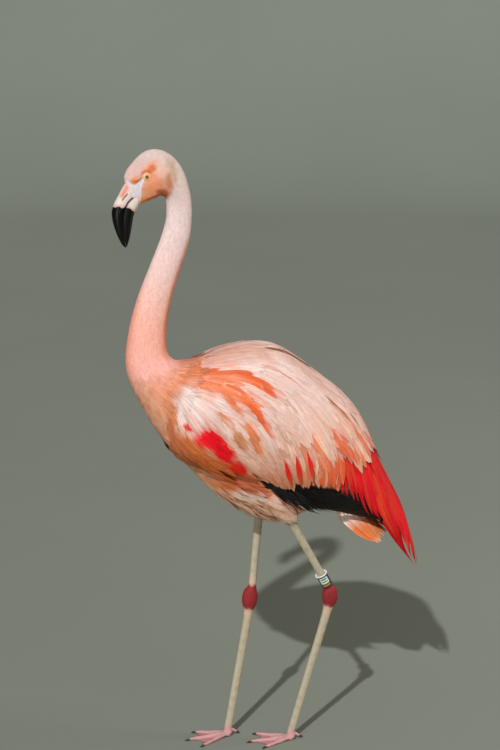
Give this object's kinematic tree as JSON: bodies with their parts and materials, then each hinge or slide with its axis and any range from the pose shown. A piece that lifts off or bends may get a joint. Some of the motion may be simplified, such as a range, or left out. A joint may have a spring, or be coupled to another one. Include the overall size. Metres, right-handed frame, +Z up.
{
  "type": "flamingo",
  "caption": "Life-size still model of a standing flamingo in mid-stride with its wings folded and its bill held down.",
  "frame": {"origin": "on the floor, under the middle of the bird's bounding box", "axes": "+Z up; the bird faces -X; its left side is toward -Y; the plane of symmetry of its head, neck and trunk is Y = 0"},
  "size_m": [0.583, 0.2344, 1.112],
  "materials": {
    "pale_plumage": "matte",
    "coral_plumage": "matte",
    "wing_plumage": "matte",
    "flight_plumage": "satin",
    "bill": "satin",
    "eye": "gloss",
    "leg_skin": "matte",
    "hock_skin": "matte",
    "claw": "satin",
    "band": "satin"
  },
  "bodies": {
    "root": {"head": "pale_plumage", "neck_upper": "pale_plumage", "neck_middle": "coral_plumage", "neck_lower": "coral_plumage", "trunk": "coral_plumage", "eye_left": "eye", "eye_right": "eye", "bill_upper": "bill", "bill_lower": "bill", "tail": "coral_plumage", "wing_left": "wing_plumage", "flight_feathers_left": "flight_plumage", "thigh_left": "pale_plumage", "shank_left": "leg_skin", "hock_left": "hock_skin", "tarsus_left": "leg_skin", "foot_left": "leg_skin", "claw_left_inner": "claw", "claw_left_middle": "claw", "claw_left_outer": "claw", "claw_left_hind": "claw", "wing_right": "wing_plumage", "flight_feathers_right": "flight_plumage", "thigh_right": "pale_plumage", "shank_right": "leg_skin", "hock_right": "hock_skin", "tarsus_right": "leg_skin", "foot_right": "leg_skin", "claw_right_inner": "claw", "claw_right_middle": "claw", "claw_right_outer": "claw", "claw_right_hind": "claw", "leg_band": "band"}
  },
  "joints": []
}
